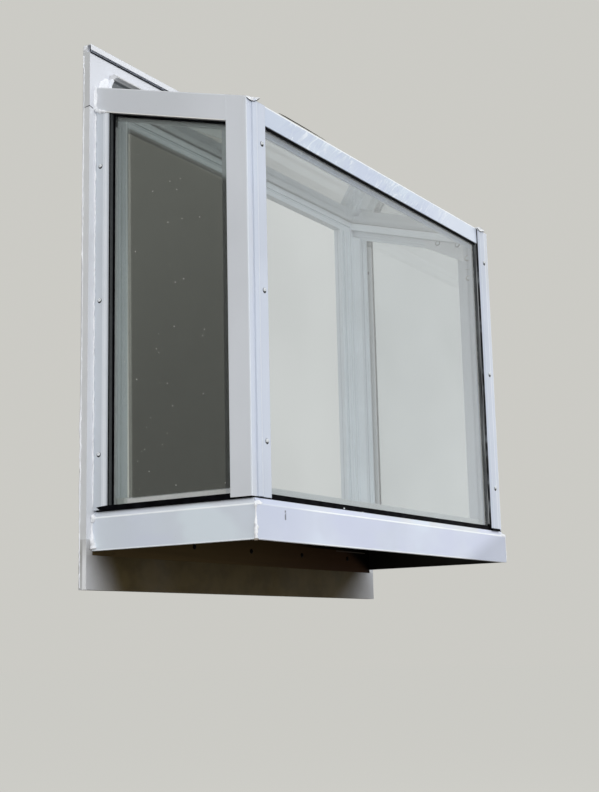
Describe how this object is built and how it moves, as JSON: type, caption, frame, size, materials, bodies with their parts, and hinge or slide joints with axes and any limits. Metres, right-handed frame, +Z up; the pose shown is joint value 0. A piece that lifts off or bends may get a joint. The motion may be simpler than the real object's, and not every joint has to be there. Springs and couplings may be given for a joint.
{
  "type": "garden window",
  "caption": "Projecting garden window: glazed box with sloping glass roof, white metal posts and rails, folded skirt, seat board and flat wall casing.",
  "frame": {"origin": "on the wall face, mid width, half way up the apron board", "axes": "+X to the right seen from outdoors, +Y into the wall, +Z up"},
  "size_m": [1.134, 0.415, 1.1446],
  "materials": {
    "white_metal": "gloss",
    "casing_white": "satin",
    "inner_white": "satin",
    "clear_glass": "polished",
    "black_rubber": "satin",
    "mill_metal": "satin",
    "brown_board": "matte",
    "seat_white": "painted"
  },
  "bodies": {
    "root": {"apron_board": "casing_white", "corner_post_left": "white_metal", "corner_post_right": "white_metal", "drip_cap": "casing_white", "eave_strip": "white_metal", "front_gasket": "black_rubber", "front_glass": "clear_glass", "front_sill_rail": "inner_white", "front_top_rail": "white_metal", "inner_head": "inner_white", "inner_jamb_left": "inner_white", "inner_jamb_right": "inner_white", "inner_sill": "inner_white", "jamb_cover_left": "white_metal", "jamb_cover_right": "white_metal", "ledger_board": "brown_board", "left_gasket": "black_rubber", "left_glass": "clear_glass", "post_cover_left": "white_metal", "post_cover_right": "white_metal", "right_gasket": "black_rubber", "right_glass": "clear_glass", "roof_bar_left": "white_metal", "roof_bar_right": "white_metal", "roof_glass": "clear_glass", "seat_board": "seat_white", "side_top_rail_left": "white_metal", "side_top_rail_right": "white_metal", "sill_rail_left": "inner_white", "sill_rail_right": "inner_white", "skirt_front": "white_metal", "skirt_left": "white_metal", "skirt_right": "white_metal", "trim_left": "casing_white", "trim_right": "casing_white", "trim_top": "casing_white", "wall_head_bar": "mill_metal", "wall_post_left": "white_metal", "wall_post_right": "white_metal"}
  },
  "joints": []
}
